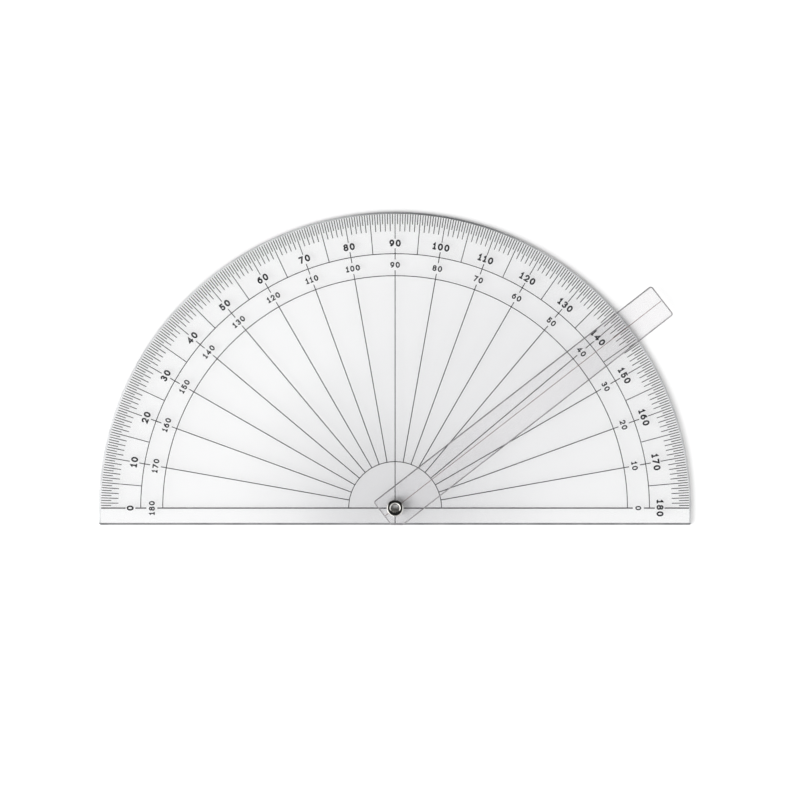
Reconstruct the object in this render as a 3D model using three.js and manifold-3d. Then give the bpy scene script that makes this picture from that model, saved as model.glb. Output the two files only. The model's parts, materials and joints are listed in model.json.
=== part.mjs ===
// Axis protractor: a clear half-round scale plate with a clear swing arm on a hollow eyelet.
// Millimetres, +Z up. The plate lies flat with its base line along X and its half circle towards +Y.
// Every piece is drawn about the eyelet's axis, and the whole is then shifted so that the origin
// is the centre of its footprint on the surface that it lies on.

import * as THREE from 'three';
import { mergeVertices } from 'three/addons/utils/BufferGeometryUtils.js';
import Module from 'manifold-3d';

const wasm = await Module();
wasm.setup();

// Scale plate: a half disc with a strip below its base line
const plateRadius = 105;
const plateStrip = 6;
const plateThick = 2;
const plateUpperRound = 0.75;
const plateLowerBevel = 0.2;
const plateCornerRadius = 0.8;

// Graduations, engraved as V grooves in the plate's upper face
const scaleDegrees = 180;
const rightAngleDegrees = 90;
const numberedStepDegrees = 10;
const ringStepDegrees = 5;
const longTickStepDegrees = 1;
const tickStepDegrees = 0.5;
const tickRimMargin = 0.05;
const halfDegreeLength = 3.55;
const degreeLength = 6.1;
const tenDegreeLength = 8.7;
const outerRingInset = 14.85;
const innerRingInset = 22.65;
const ringOvershoot = 1.9;
const ringUndershoot = 2;
const vertexRingRadius = 16.45;
const lineWidth = 0.26;
const baseLineWidth = 0.4;
const lineDepth = 0.12;
const ringWidth = 0.26;
const ringDepth = 0.1;
const lineLap = 0.04;

// Swing arm: a clear strip with one index line engraved in its lower face
const armReach = 120;
const armHeel = 4.8;
const armWidth = 13;
const armThick = 1.5;
const armUpperRound = 0.45;
const armLowerBevel = 0.2;
const armCornerRadius = 1;
const armRestDegrees = 37.9;
const indexLineWidth = 0.24;
const indexLineDepth = 0.14;
const indexLineMargin = 0.5;

// Hollow eyelet: domed head above the arm, barrel through both pieces, clinch below the plate
const barrelRadius = 1.8;
const boreRadius = 1.3;
const headRadius = 3;
const headHeight = 0.6;
const headEdge = 0.12;
const headCrestRadius = 2.3;
const headThroatDepth = 0.9;
const clinchRadius = 2.5;
const clinchHeight = 0.45;
const clinchEdge = 0.1;
const clinchCrestRadius = 2;
const clinchThroatDepth = 0.6;

// Washers, both hidden under the eyelet's head
const slipWasherRadius = 2.9;
const slipWasherThick = 0.25;
const backWasherRadius = 2.7;
const backWasherThick = 0.3;

// Clearances
const washerClearance = 0.1;
const plateHoleClearance = 0.1;
const armHoleClearance = 0.08;
const armPlay = 0.05;
const recessClearance = 0.2;
const clinchSetback = 0.05;
const cutOverrun = 0.5;

// Levels and radii that follow from the sizes above
const slipWasherLevel = plateThick;
const armLevel = slipWasherLevel + slipWasherThick + armPlay;
const headLevel = armLevel + armThick + armPlay;
const clinchLevel = clinchSetback + clinchHeight;
const recessDepth = clinchLevel + backWasherThick;
const recessRadius = Math.max(backWasherRadius, clinchRadius) + recessClearance;
const tickOuterRadius = plateRadius - plateUpperRound - tickRimMargin;
const outerRingRadius = plateRadius - outerRingInset;
const innerRingRadius = plateRadius - innerRingInset;

// Facets
const rimSteps = 150;
const ringSteps = 144;
const cornerSteps = 4;
const edgeSteps = 3;
const roundSteps = 40;
const crownSteps = 4;

const fullTurn = 2 * Math.PI;
const up = new THREE.Vector3(0, 0, 1);
const down = new THREE.Vector3(0, 0, -1);

// Materials
const clearPlate = new THREE.MeshStandardMaterial({
  color: 0xe9eef0, roughness: 0.08, metalness: 0, transparent: true, opacity: 0.45, flatShading: true,
});
const clearArm = new THREE.MeshStandardMaterial({
  color: 0xeae4ec, roughness: 0.08, metalness: 0, transparent: true, opacity: 0.45, flatShading: true,
});
const nickel = new THREE.MeshStandardMaterial({
  color: 0xc9c7c2, roughness: 0.16, metalness: 1, flatShading: true,
});
const paleNylon = new THREE.MeshStandardMaterial({
  color: 0xe6e4dc, roughness: 0.55, metalness: 0, flatShading: true,
});

// Closed solid of a closed geometry, ready for joining and cutting
function solidOf(geometry) {
  const bare = geometry.clone();
  bare.deleteAttribute('normal');
  bare.deleteAttribute('uv');
  const merged = mergeVertices(bare);
  return new wasm.Manifold(new wasm.Mesh({
    numProp: 3,
    vertProperties: merged.attributes.position.array,
    triVerts: Uint32Array.from(merged.index.array),
  }));
}

// Geometry of a finished solid
function geometryOf(solid) {
  const { vertProperties, triVerts } = solid.getMesh();
  const geometry = new THREE.BufferGeometry();
  geometry.setAttribute('position', new THREE.BufferAttribute(vertProperties, 3));
  geometry.setIndex(new THREE.BufferAttribute(triVerts, 1));
  geometry.computeVertexNormals();
  return geometry;
}

// Points along a round stretch, end points included
function arcPoints(centreX, centreY, radius, startAngle, endAngle, steps) {
  return Array.from({ length: steps + 1 }, (_, step) => {
    const angle = startAngle + (endAngle - startAngle) * step / steps;
    return new THREE.Vector2(centreX + radius * Math.cos(angle), centreY + radius * Math.sin(angle));
  });
}

// Points along a quarter of an ellipse, from its side point to its crest point, end points included
function crownPoints(side, crest) {
  return Array.from({ length: crownSteps + 1 }, (_, step) => {
    const angle = Math.PI / 2 * step / crownSteps;
    const x = crest.x + (side.x - crest.x) * Math.cos(angle);
    const y = side.y + (crest.y - side.y) * Math.sin(angle);
    return new THREE.Vector2(x, y);
  });
}

// Sheet of a given outline between two levels, whose edges are broken alike round both its faces,
// in one step for a bevel and in more for a rounding
function brokenBlank(outline, bottom, top, size, steps) {
  const geometry = new THREE.ExtrudeGeometry(new THREE.Shape(outline), {
    depth: top - bottom - 2 * size,
    bevelEnabled: true,
    bevelThickness: size,
    bevelSize: size,
    bevelOffset: -size,
    bevelSegments: steps,
  });
  return solidOf(geometry.translate(0, 0, bottom + size));
}

// Flat sheet, bevelled below and rounded above: what two blanks share, each of which gives one
// face and is carried past the other
function brokenSheet(outline, level, thick, lowerBevel, upperRound) {
  const top = level + thick;
  const lower = brokenBlank(outline, level, top + lowerBevel + cutOverrun, lowerBevel, 1);
  const upper = brokenBlank(outline, level - upperRound - cutOverrun, top, upperRound, edgeSteps);
  return lower.intersect(upper);
}

// Solid of revolution about Z, from a profile of radius and height that closes on itself
function turned(profile, steps) {
  return new THREE.LatheGeometry([...profile, profile[0]], steps).rotateX(Math.PI / 2);
}

// Plain round cutter between two levels
function roundCutter(radius, bottom, top) {
  const cutter = new THREE.CylinderGeometry(radius, radius, top - bottom, roundSteps);
  return solidOf(cutter.rotateX(Math.PI / 2).translate(0, 0, (top + bottom) / 2));
}

// Half the width of a V cutter where it stands clear of the face that it cuts
function cutterHalfWidth(width, depth) {
  return width / 2 * (depth + cutOverrun) / depth;
}

// V cutter for a straight line on a face at a given level, whose outward side is given
function lineCutter(start, end, width, depth, level, outward) {
  const half = cutterHalfWidth(width, depth);
  const section = new THREE.Shape([
    new THREE.Vector2(0, -depth),
    new THREE.Vector2(half, cutOverrun),
    new THREE.Vector2(-half, cutOverrun),
  ]);
  const run = new THREE.Vector3(end.x - start.x, end.y - start.y, 0);
  const cutter = new THREE.ExtrudeGeometry(section, { depth: run.length(), bevelEnabled: false });
  const along = run.normalize();
  const across = new THREE.Vector3().crossVectors(outward, along);
  const placed = new THREE.Matrix4().makeBasis(across, outward, along).setPosition(start.x, start.y, level);
  return solidOf(cutter.applyMatrix4(placed));
}

// V cutter for a full ring on the plate's upper face
function ringCutter(radius) {
  const half = cutterHalfWidth(ringWidth, ringDepth);
  const profile = [
    new THREE.Vector2(radius, plateThick - ringDepth),
    new THREE.Vector2(radius + half, plateThick + cutOverrun),
    new THREE.Vector2(radius - half, plateThick + cutOverrun),
  ];
  return solidOf(turned(profile, ringSteps));
}

// Point of the dial at a radius and an angle counted from the right-hand end of the base line
function dialPoint(radius, degrees) {
  const angle = THREE.MathUtils.degToRad(degrees);
  return new THREE.Vector2(radius * Math.cos(angle), radius * Math.sin(angle));
}

// Radial stretches of the line at one angle, as pairs of outer and inner radius. A numbered line
// is broken twice for its numerals, and the base line and the upright reach the eyelet.
function radialStretches(degrees) {
  if (degrees % numberedStepDegrees === 0) {
    const reachesEyelet = degrees % rightAngleDegrees === 0;
    return [
      [tickOuterRadius, tickOuterRadius - tenDegreeLength],
      [outerRingRadius + ringOvershoot, outerRingRadius - ringUndershoot],
      [innerRingRadius + ringOvershoot, reachesEyelet ? boreRadius : vertexRingRadius - lineLap],
    ];
  }
  if (degrees % ringStepDegrees === 0) {
    return [[tickOuterRadius, outerRingRadius - lineLap]];
  }
  const length = degrees % longTickStepDegrees === 0 ? degreeLength : halfDegreeLength;
  return [[tickOuterRadius, tickOuterRadius - length]];
}

// All radial lines, with the upright carried on below the eyelet to the straight edge
function radialCutters() {
  const cutters = [];
  const count = Math.round(scaleDegrees / tickStepDegrees);
  for (let index = 0; index <= count; index += 1) {
    const degrees = index * tickStepDegrees;
    const width = degrees % scaleDegrees === 0 ? baseLineWidth : lineWidth;
    for (const [outer, inner] of radialStretches(degrees)) {
      const start = dialPoint(inner, degrees);
      const end = dialPoint(outer, degrees);
      cutters.push(lineCutter(start, end, width, lineDepth, plateThick, up));
    }
  }
  const tailStart = new THREE.Vector2(0, -boreRadius);
  const tailEnd = new THREE.Vector2(0, plateUpperRound + tickRimMargin - plateStrip);
  cutters.push(lineCutter(tailStart, tailEnd, lineWidth, lineDepth, plateThick, up));
  return cutters;
}

// Upper half of the three rings, ending in the base line's groove
function ringCutters() {
  const span = 2 * plateRadius;
  const half = new THREE.BoxGeometry(span, plateRadius, span);
  const upperHalf = solidOf(half.translate(0, plateRadius / 2 - lineLap, 0));
  return [outerRingRadius, innerRingRadius, vertexRingRadius].map(
    (radius) => ringCutter(radius).intersect(upperHalf),
  );
}

// Outline of the plate, from its lower left corner anticlockwise
function plateOutline() {
  const inset = plateRadius - plateCornerRadius;
  const cornerLevel = plateCornerRadius - plateStrip;
  return [
    ...arcPoints(-inset, cornerLevel, plateCornerRadius, -Math.PI, -Math.PI / 2, cornerSteps),
    ...arcPoints(inset, cornerLevel, plateCornerRadius, -Math.PI / 2, 0, cornerSteps),
    ...arcPoints(0, 0, plateRadius, 0, Math.PI, rimSteps),
  ];
}

// Plate with its graduations, its hole and the recess that keeps the clinch off the paper
function scalePlate() {
  const blank = brokenSheet(plateOutline(), 0, plateThick, plateLowerBevel, plateUpperRound);
  const holeRadius = barrelRadius + plateHoleClearance;
  const cutters = [
    roundCutter(holeRadius, -cutOverrun, plateThick + cutOverrun),
    roundCutter(recessRadius, -cutOverrun, recessDepth),
    ...ringCutters(),
    ...radialCutters(),
  ];
  return geometryOf(blank.subtract(cutters.reduce((joined, cutter) => joined.add(cutter))));
}

// What is left of a closed outline on the near side of a straight line, given by its outward
// normal and its distance from the axis
function trimmed(outline, normal, distance) {
  const kept = [];
  outline.forEach((point, index) => {
    const next = outline[(index + 1) % outline.length];
    const excess = point.dot(normal) - distance;
    const nextExcess = next.dot(normal) - distance;
    if (excess <= 0) {
      kept.push(point);
    }
    if (excess * nextExcess < 0) {
      kept.push(point.clone().lerp(next, excess / (excess - nextExcess)));
    }
  });
  return kept;
}

// Outline of the arm along +X: rounded corners, and the heel's lower corner trimmed flush with
// the plate's straight edge at the rest angle
function armOutline() {
  const side = armWidth / 2 - armCornerRadius;
  const tip = armReach - armCornerRadius;
  const heel = armCornerRadius - armHeel;
  const outline = [
    ...arcPoints(heel, -side, armCornerRadius, -Math.PI, -Math.PI / 2, cornerSteps),
    ...arcPoints(tip, -side, armCornerRadius, -Math.PI / 2, 0, cornerSteps),
    ...arcPoints(tip, side, armCornerRadius, 0, Math.PI / 2, cornerSteps),
    ...arcPoints(heel, side, armCornerRadius, Math.PI / 2, Math.PI, cornerSteps),
  ];
  const belowPlate = new THREE.Vector2(0, -1);
  belowPlate.rotateAround(new THREE.Vector2(), -THREE.MathUtils.degToRad(armRestDegrees));
  return trimmed(outline, belowPlate, plateStrip);
}

// Arm with its hole and its index line, which runs from heel to tip through the hole
function swingArm() {
  const blank = brokenSheet(armOutline(), armLevel, armThick, armLowerBevel, armUpperRound);
  const holeRadius = barrelRadius + armHoleClearance;
  const hole = roundCutter(holeRadius, armLevel - cutOverrun, armLevel + armThick + cutOverrun);
  const heelEnd = new THREE.Vector2(indexLineMargin - armHeel, 0);
  const tipEnd = new THREE.Vector2(armReach - indexLineMargin, 0);
  const line = lineCutter(heelEnd, tipEnd, indexLineWidth, indexLineDepth, armLevel, down);
  return geometryOf(blank.subtract(hole.add(line)));
}

// Eyelet: a thin barrel whose ends curl outwards into a domed head and a smaller clinch
function pivotEyelet() {
  const headEdgePoint = new THREE.Vector2(headRadius, headLevel + headEdge);
  const headCrest = new THREE.Vector2(headCrestRadius, headLevel + headHeight);
  const headThroat = new THREE.Vector2(boreRadius, headCrest.y - headThroatDepth);
  const clinchEdgePoint = new THREE.Vector2(clinchRadius, clinchLevel - clinchEdge);
  const clinchCrest = new THREE.Vector2(clinchCrestRadius, clinchLevel - clinchHeight);
  const clinchThroat = new THREE.Vector2(boreRadius, clinchCrest.y + clinchThroatDepth);
  return turned([
    new THREE.Vector2(barrelRadius, clinchLevel),
    new THREE.Vector2(barrelRadius, headLevel),
    new THREE.Vector2(headRadius - headEdge, headLevel),
    ...crownPoints(headEdgePoint, headCrest),
    ...crownPoints(headThroat, headCrest).reverse().slice(1),
    ...crownPoints(clinchThroat, clinchCrest),
    ...crownPoints(clinchEdgePoint, clinchCrest).reverse().slice(1),
    new THREE.Vector2(clinchRadius - clinchEdge, clinchLevel),
  ], roundSteps);
}

// Flat washer on the barrel, with its lower face at a given level
function washer(radius, thick, level) {
  const inner = barrelRadius + washerClearance;
  return turned([
    new THREE.Vector2(inner, level),
    new THREE.Vector2(radius, level),
    new THREE.Vector2(radius, level + thick),
    new THREE.Vector2(inner, level + thick),
  ], roundSteps);
}

// Named piece of the assembly
function piece(name, geometry, material) {
  const mesh = new THREE.Mesh(geometry, material);
  mesh.name = name;
  return mesh;
}

// The assembly about the eyelet's axis, shifted so that the footprint's centre is the origin
const protractor = new THREE.Group();
const arm = piece('swing_arm', swingArm(), clearArm);
arm.rotation.z = THREE.MathUtils.degToRad(armRestDegrees);
protractor.add(
  piece('scale_plate', scalePlate(), clearPlate),
  arm,
  piece('pivot_eyelet', pivotEyelet(), nickel),
  piece('slip_washer', washer(slipWasherRadius, slipWasherThick, slipWasherLevel), paleNylon),
  piece('back_washer', washer(backWasherRadius, backWasherThick, clinchLevel), nickel),
);
protractor.position.y = (plateStrip - plateRadius) / 2;
protractor.updateMatrixWorld(true);

export default protractor;
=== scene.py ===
"""Dressed model of a clear half-round protractor whose swing arm turns on a hollow eyelet.

Sizes are in millimetres about the eyelet's axis, with the base line along X and the paper at
level 0. Meshes are written in metres in the row frame, each with its place in its vertices.
"""

import json
import logging
import math
from dataclasses import dataclass, field
from enum import Enum
from typing import Any, Iterable, Sequence

import bmesh
import bpy
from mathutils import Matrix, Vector


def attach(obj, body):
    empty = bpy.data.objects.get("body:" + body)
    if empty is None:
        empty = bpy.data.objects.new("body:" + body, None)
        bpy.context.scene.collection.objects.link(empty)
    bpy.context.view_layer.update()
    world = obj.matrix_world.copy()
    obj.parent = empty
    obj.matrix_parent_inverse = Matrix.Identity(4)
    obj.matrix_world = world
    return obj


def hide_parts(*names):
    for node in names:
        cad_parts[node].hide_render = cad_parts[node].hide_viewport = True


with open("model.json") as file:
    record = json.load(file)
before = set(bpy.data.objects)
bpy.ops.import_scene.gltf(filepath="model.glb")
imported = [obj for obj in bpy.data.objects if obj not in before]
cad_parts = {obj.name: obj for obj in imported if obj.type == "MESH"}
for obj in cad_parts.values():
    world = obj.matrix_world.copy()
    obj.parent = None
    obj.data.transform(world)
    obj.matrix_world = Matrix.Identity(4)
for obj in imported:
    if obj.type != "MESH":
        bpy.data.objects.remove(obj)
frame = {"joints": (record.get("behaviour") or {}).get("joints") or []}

LOG = logging.getLogger("protractor")
MM = 0.001

Colour = tuple[float, float, float]
Flat = tuple[float, float]
Loop = list[bmesh.types.BMVert]
Station = tuple[Vector, Vector, float]


class Body(Enum):
    """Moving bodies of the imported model."""

    PLATE = "plate"
    ARM = "arm"


class Slot(Enum):
    """Material slots of the record."""

    CLEAR_PLATE = "clear_plate"
    CLEAR_ARM = "clear_arm"
    NICKEL = "nickel"
    NYLON = "nylon"


class Ring(Enum):
    """Rings of the dial, from the rim inwards."""

    OUTER = "Outer Ring Radius"
    INNER = "Inner Ring Radius"
    VERTEX = "Vertex Ring Radius"


class GroupSocket(Enum):
    """Kinds of socket on a node group."""

    NUMBER = "NodeSocketFloat"
    WHOLE = "NodeSocketInt"
    VECTOR = "NodeSocketVector"
    GEOMETRY = "NodeSocketGeometry"
    MATERIAL = "NodeSocketMaterial"


# Node writing


class Wiring:
    """Adds nodes to one node tree and links their sockets."""

    NODE_SPACING = 200

    def __init__(self, tree: bpy.types.NodeTree) -> None:
        """Takes the tree that the nodes go into."""
        self.tree = tree
        self.column = 0

    def node(
        self, kind: str, inputs: dict[Any, Any] | None = None, **settings: Any,
    ) -> bpy.types.Node:
        """Adds one node.

        Args:
            kind: The node's class name.
            inputs: Values or sockets for its inputs, by name or by position.
            settings: Values for the node's own properties, which are set first.

        Returns:
            The new node.
        """
        made = self.tree.nodes.new(kind)
        made.location = (self.column, 0)
        self.column += self.NODE_SPACING
        for key, value in settings.items():
            setattr(made, key, value)
        for key, value in (inputs or {}).items():
            if isinstance(value, bpy.types.NodeSocket):
                self.tree.links.new(value, made.inputs[key])
            else:
                made.inputs[key].default_value = value
        return made

    def math(self, operation: str, first: Any, second: Any = 0.0) -> bpy.types.NodeSocket:
        """Adds a Math node of two values or sockets and gives its output."""
        return self.node("ShaderNodeMath", {0: first, 1: second}, operation=operation).outputs[0]

    def ranged(
        self, value: Any, low: Any, high: Any, at_low: float, at_high: float,
    ) -> bpy.types.NodeSocket:
        """Adds a clamped, smoothed Map Range node from low and high to at_low and at_high."""
        inputs = {"Value": value, "From Min": low, "From Max": high, "To Min": at_low, "To Max": at_high}
        return self.node("ShaderNodeMapRange", inputs, interpolation_type="SMOOTHSTEP").outputs["Result"]

    def blended(self, amount: Any, first: Any, second: Any) -> bpy.types.NodeSocket:
        """Adds a colour Mix node, where amount is the share of the second colour."""
        return self.node("ShaderNodeMix", {0: amount, 6: first, 7: second}, data_type="RGBA").outputs[2]

    def noise(self, place: Any, scale: Any, detail: float) -> bpy.types.NodeSocket:
        """Adds a Noise Texture and gives its value, which lies about 0.5."""
        inputs = {"Vector": place, "Scale": scale, "Detail": detail}
        return self.node("ShaderNodeTexNoise", inputs).outputs[0]

    def dented(self, height: Any, depth: float) -> bpy.types.NodeSocket:
        """Adds a Bump node with its depth in millimetres and gives the normal."""
        return self.node("ShaderNodeBump", {"Height": height, "Distance": depth * MM}).outputs[0]

    def shone_through(self) -> bpy.types.NodeSocket:
        """Gives 1 for shadow and diffuse rays, which go straight through clear plastic."""
        path = self.node("ShaderNodeLightPath").outputs
        return self.math("MAXIMUM", path["Is Shadow Ray"], path["Is Diffuse Ray"])

    def surface(
        self, shader: bpy.types.Node, other: bpy.types.Node | None = None, share: Any = 0.0,
    ) -> None:
        """Makes one shader, or a mix of two, the material's surface.

        Args:
            shader: The shader.
            other: The one that is mixed in, if any.
            share: Share of the other one.
        """
        result = shader.outputs[0]
        if other is not None:
            mix = {0: share, 1: result, 2: other.outputs[0]}
            result = self.node("ShaderNodeMixShader", mix).outputs[0]
        self.node("ShaderNodeOutputMaterial", {"Surface": result})


def opaque(colour: Colour) -> tuple[float, float, float, float]:
    """Gives a colour its full alpha."""
    return (*colour, 1.0)


def started_group(
    name: str, kind: str, inputs: dict[str, GroupSocket], output: str, gives: GroupSocket,
) -> tuple[Wiring, Any]:
    """Starts a node group.

    Args:
        name: The group's name.
        kind: Class name of its tree.
        inputs: Kind of each input by its name.
        output: Name of its output.
        gives: The output's kind.

    Returns:
        The group's wiring, and the sockets that carry its inputs.
    """
    tree = bpy.data.node_groups.new(name, kind)
    for socket, sort in inputs.items():
        tree.interface.new_socket(name=socket, in_out="INPUT", socket_type=sort.value)
    tree.interface.new_socket(name=output, in_out="OUTPUT", socket_type=gives.value)
    wiring = Wiring(tree)
    return wiring, wiring.node("NodeGroupInput").outputs


def numbers(*names: str) -> dict[str, GroupSocket]:
    """Makes each name a plain number input."""
    return dict.fromkeys(names, GroupSocket.NUMBER)


def started_material(name: str) -> tuple[bpy.types.Material, Wiring, bpy.types.NodeSocket]:
    """Starts a material.

    Args:
        name: The material's name.

    Returns:
        The material, its wiring and the position on the object.
    """
    made = bpy.data.materials.new(name)
    made.use_nodes = True
    made.node_tree.nodes.clear()
    wiring = Wiring(made.node_tree)
    return made, wiring, wiring.node("ShaderNodeTexCoord").outputs["Object"]


class SharedEffects:
    """Shader node groups that several finishes place with their own values."""

    MARK_TURNS_AND_SEEDS = ((0.5, 3.1), (-0.9, 7.7))
    MARK_DETAIL = 1.0
    PATCH_SHARE = 0.6
    PATCH_DETAIL = 3.0
    PATCH_EDGE = (0.45, 0.6)
    CLOUD_SCALE = 18.0
    CLOUD_DETAIL = 2.0
    CLOUD_DRIFT = 0.03

    def __init__(self, centre: Vector) -> None:
        """Builds the groups once and keeps the eyelet's axis, in metres, for their positions."""
        self.centre = centre
        self.hairlines, self.sweep = self._hairline_group(), self._sweep_group()

    def _hairline_group(self) -> bpy.types.NodeTree:
        """Builds fine straight handling marks that cross in two directions, broken into patches.

        Returns:
            A group that turns a position into a mask of hairlines.
        """
        inputs = {"Vector": GroupSocket.VECTOR, **numbers("Pitch", "Stretch", "Line Width", "Coverage")}
        wiring, given = started_group(
            "fine_handling_marks", "ShaderNodeTree", inputs, "Mask", GroupSocket.NUMBER,
        )
        density = wiring.math("DIVIDE", 1.0, given["Pitch"])
        lines = []
        for turn, seed in self.MARK_TURNS_AND_SEEDS:
            scale = wiring.node("ShaderNodeCombineXYZ", {"X": 1.0, "Y": given["Stretch"], "Z": 1.0})
            turned = wiring.node("ShaderNodeMapping", {"Vector": given["Vector"], "Rotation": (0, 0, turn)})
            stretched = wiring.node(
                "ShaderNodeVectorMath", {0: turned.outputs[0], 1: scale.outputs[0]}, operation="MULTIPLY",
            )
            grain = wiring.node("ShaderNodeTexNoise", {
                "Vector": stretched.outputs[0], "W": seed, "Scale": density, "Detail": self.MARK_DETAIL,
            }, noise_dimensions="4D")
            offset = wiring.math("ABSOLUTE", wiring.math("SUBTRACT", grain.outputs[0], 0.5))
            line = wiring.math("SUBTRACT", 1.0, wiring.math("DIVIDE", offset, given["Line Width"]))
            lines.append(wiring.math("MAXIMUM", line, 0.0))
        patch_scale = wiring.math("MULTIPLY", density, self.PATCH_SHARE)
        patch = wiring.noise(given["Vector"], patch_scale, self.PATCH_DETAIL)
        reached = wiring.math("ADD", patch, wiring.math("SUBTRACT", given["Coverage"], 0.5))
        shown = wiring.ranged(reached, *self.PATCH_EDGE, 0.0, 1.0)
        mask = wiring.math("MULTIPLY", wiring.math("MAXIMUM", *lines), shown)
        wiring.node("NodeGroupOutput", {"Mask": mask})
        return wiring.tree

    def _sweep_group(self) -> bpy.types.NodeTree:
        """Builds a soft round mask with a cloudy edge, for round patches of painted shade and painted
        light.

        Returns:
            A group that gives 1 at the inner radius and 0 at the outer one.
        """
        vectors = {"Vector": GroupSocket.VECTOR, "Centre": GroupSocket.VECTOR}
        wiring, given = started_group(
            "painted_shade_and_light_patch", "ShaderNodeTree", {**vectors, **numbers("Inner Radius", "Outer Radius")},
            "Mask", GroupSocket.NUMBER,
        )
        apart = wiring.node(
            "ShaderNodeVectorMath", {0: given["Vector"], 1: given["Centre"]}, operation="DISTANCE",
        )
        cloud = wiring.noise(given["Vector"], self.CLOUD_SCALE, self.CLOUD_DETAIL)
        drift = wiring.math("MULTIPLY", wiring.math("SUBTRACT", cloud, 0.5), self.CLOUD_DRIFT)
        reach = wiring.math("ADD", apart.outputs["Value"], drift)
        mask = wiring.ranged(reach, given["Inner Radius"], given["Outer Radius"], 1.0, 0.0)
        wiring.node("NodeGroupOutput", {"Mask": mask})
        return wiring.tree


# Finishes


@dataclass(frozen=True)
class Hairlines:
    """Fine marks of one finish. Their pitch is in millimetres."""

    pitch: float
    stretch: float = 26.0
    width: float = 0.018
    coverage: float = 0.42

    def mask(self, wiring: Wiring, effects: SharedEffects, place: Any) -> bpy.types.NodeSocket:
        """Places the shared marks in a material.

        Args:
            wiring: The material's wiring.
            effects: The shared shader groups.
            place: The position that the marks read.

        Returns:
            The mask of the marks.
        """
        marks = wiring.node("ShaderNodeGroup", {
            "Vector": place, "Pitch": self.pitch * MM, "Stretch": self.stretch,
            "Line Width": self.width, "Coverage": self.coverage,
        }, node_tree=effects.hairlines)
        return marks.outputs["Mask"]


@dataclass(frozen=True)
class RoundPatch:
    """Round patch of another tone about a spot, which fades out between two radii; the patches here paint
    shade and light.
    """

    tone: Colour
    radii: Flat
    spot: Flat = (0.0, 0.0)

    def over(
        self, wiring: Wiring, effects: SharedEffects, place: Any, colour: Any,
    ) -> bpy.types.NodeSocket:
        """Lays the patch over a colour.

        Args:
            wiring: The material's wiring.
            effects: The shared shader groups.
            place: The position on the object.
            colour: The colour under it.

        Returns:
            The colour with the patch.
        """
        patch = wiring.node("ShaderNodeGroup", {
            "Vector": place, "Centre": effects.centre + Vector((*self.spot, 0.0)) * MM,
            "Inner Radius": self.radii[0] * MM, "Outer Radius": self.radii[1] * MM,
        }, node_tree=effects.sweep)
        return wiring.blended(patch.outputs["Mask"], colour, opaque(self.tone))


@dataclass(frozen=True)
class ClearPlastic:
    """Clear acrylic sheet with polished faces and hairline marks, with round patches of painted shade and
    painted light laid over its tint.
    """

    name: str
    clear: Colour
    patches: tuple[RoundPatch, ...]
    marks: Hairlines
    shine_through: float
    ior: float = 1.49
    roughness: Flat = (0.012, 0.16)
    mark_depth: float = 0.0006

    def material(self, effects: SharedEffects) -> bpy.types.Material:
        """Builds the material.

        Args:
            effects: The shared shader groups.

        Returns:
            A see-through material that lets lamps shine through it.
        """
        made, wiring, place = started_material(self.name)
        marks = self.marks.mask(wiring, effects, place)
        colour: Any = opaque(self.clear)
        # The patches paint shade and light into the sheet's tint.
        for patch in self.patches:
            colour = patch.over(wiring, effects, place, colour)
        plastic = wiring.node("ShaderNodeBsdfPrincipled", {
            "Base Color": colour, "IOR": self.ior, "Transmission Weight": 1.0,
            "Roughness": wiring.ranged(marks, 0.0, 1.0, *self.roughness),
            "Normal": wiring.dented(marks, self.mark_depth),
        })
        passing = wiring.node("ShaderNodeBsdfTransparent", {"Color": opaque((self.shine_through,) * 3)})
        wiring.surface(plastic, passing, wiring.shone_through())
        return made


@dataclass(frozen=True)
class MilledEdge:
    """Edge of a clear sheet as the cutter leaves it: half frosted, greyish, with fine cutter marks, and an
    optional round patch of painted shade.
    """

    name: str
    pale: Colour
    grey: Colour
    clearness: float
    smoked: RoundPatch | None = None
    light_in: float = 0.35
    light_out: float = 0.94
    ior: float = 1.49
    roughness: Flat = (0.20, 0.42)
    cloud_scale: float = 160.0
    cloud_range: Flat = (0.35, 0.65)
    cutter_pitch: float = 0.16
    cutter_range: Flat = (0.3, 0.7)
    cutter_depth: float = 0.01
    marks: Hairlines = Hairlines(pitch=2.5, stretch=14.0, width=0.05, coverage=0.6)
    mark_share: float = 0.4

    def material(self, effects: SharedEffects) -> bpy.types.Material:
        """Builds the material.

        Args:
            effects: The shared shader groups.

        Returns:
            A half clear material that holds back most of the lamps' light.
        """
        made, wiring, place = started_material(self.name)
        cloud = wiring.noise(place, self.cloud_scale, detail=3.0)
        cutter = wiring.noise(place, 1 / (self.cutter_pitch * MM), detail=2.0)
        marks = self.marks.mask(wiring, effects, place)
        shade = wiring.ranged(cloud, *self.cloud_range, 0.0, 1.0)
        colour = wiring.blended(shade, opaque(self.pale), opaque(self.grey))
        # Painted shade: an optional round patch darkens the edge's colour.
        if self.smoked:
            colour = self.smoked.over(wiring, effects, place, colour)
        height = wiring.math("SUBTRACT", cutter, wiring.math("MULTIPLY", marks, self.mark_share))
        plastic = wiring.node("ShaderNodeBsdfPrincipled", {
            "Base Color": colour, "IOR": self.ior, "Transmission Weight": self.clearness,
            "Roughness": wiring.ranged(cutter, *self.cutter_range, *self.roughness),
            "Normal": wiring.dented(height, self.cutter_depth),
        })
        inside = wiring.node("ShaderNodeNewGeometry").outputs["Backfacing"]
        kept = wiring.blended(inside, opaque((self.light_in,) * 3), opaque((self.light_out,) * 3))
        passing = wiring.node("ShaderNodeBsdfTransparent", {"Color": kept})
        wiring.surface(plastic, passing, wiring.shone_through())
        return made


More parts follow.
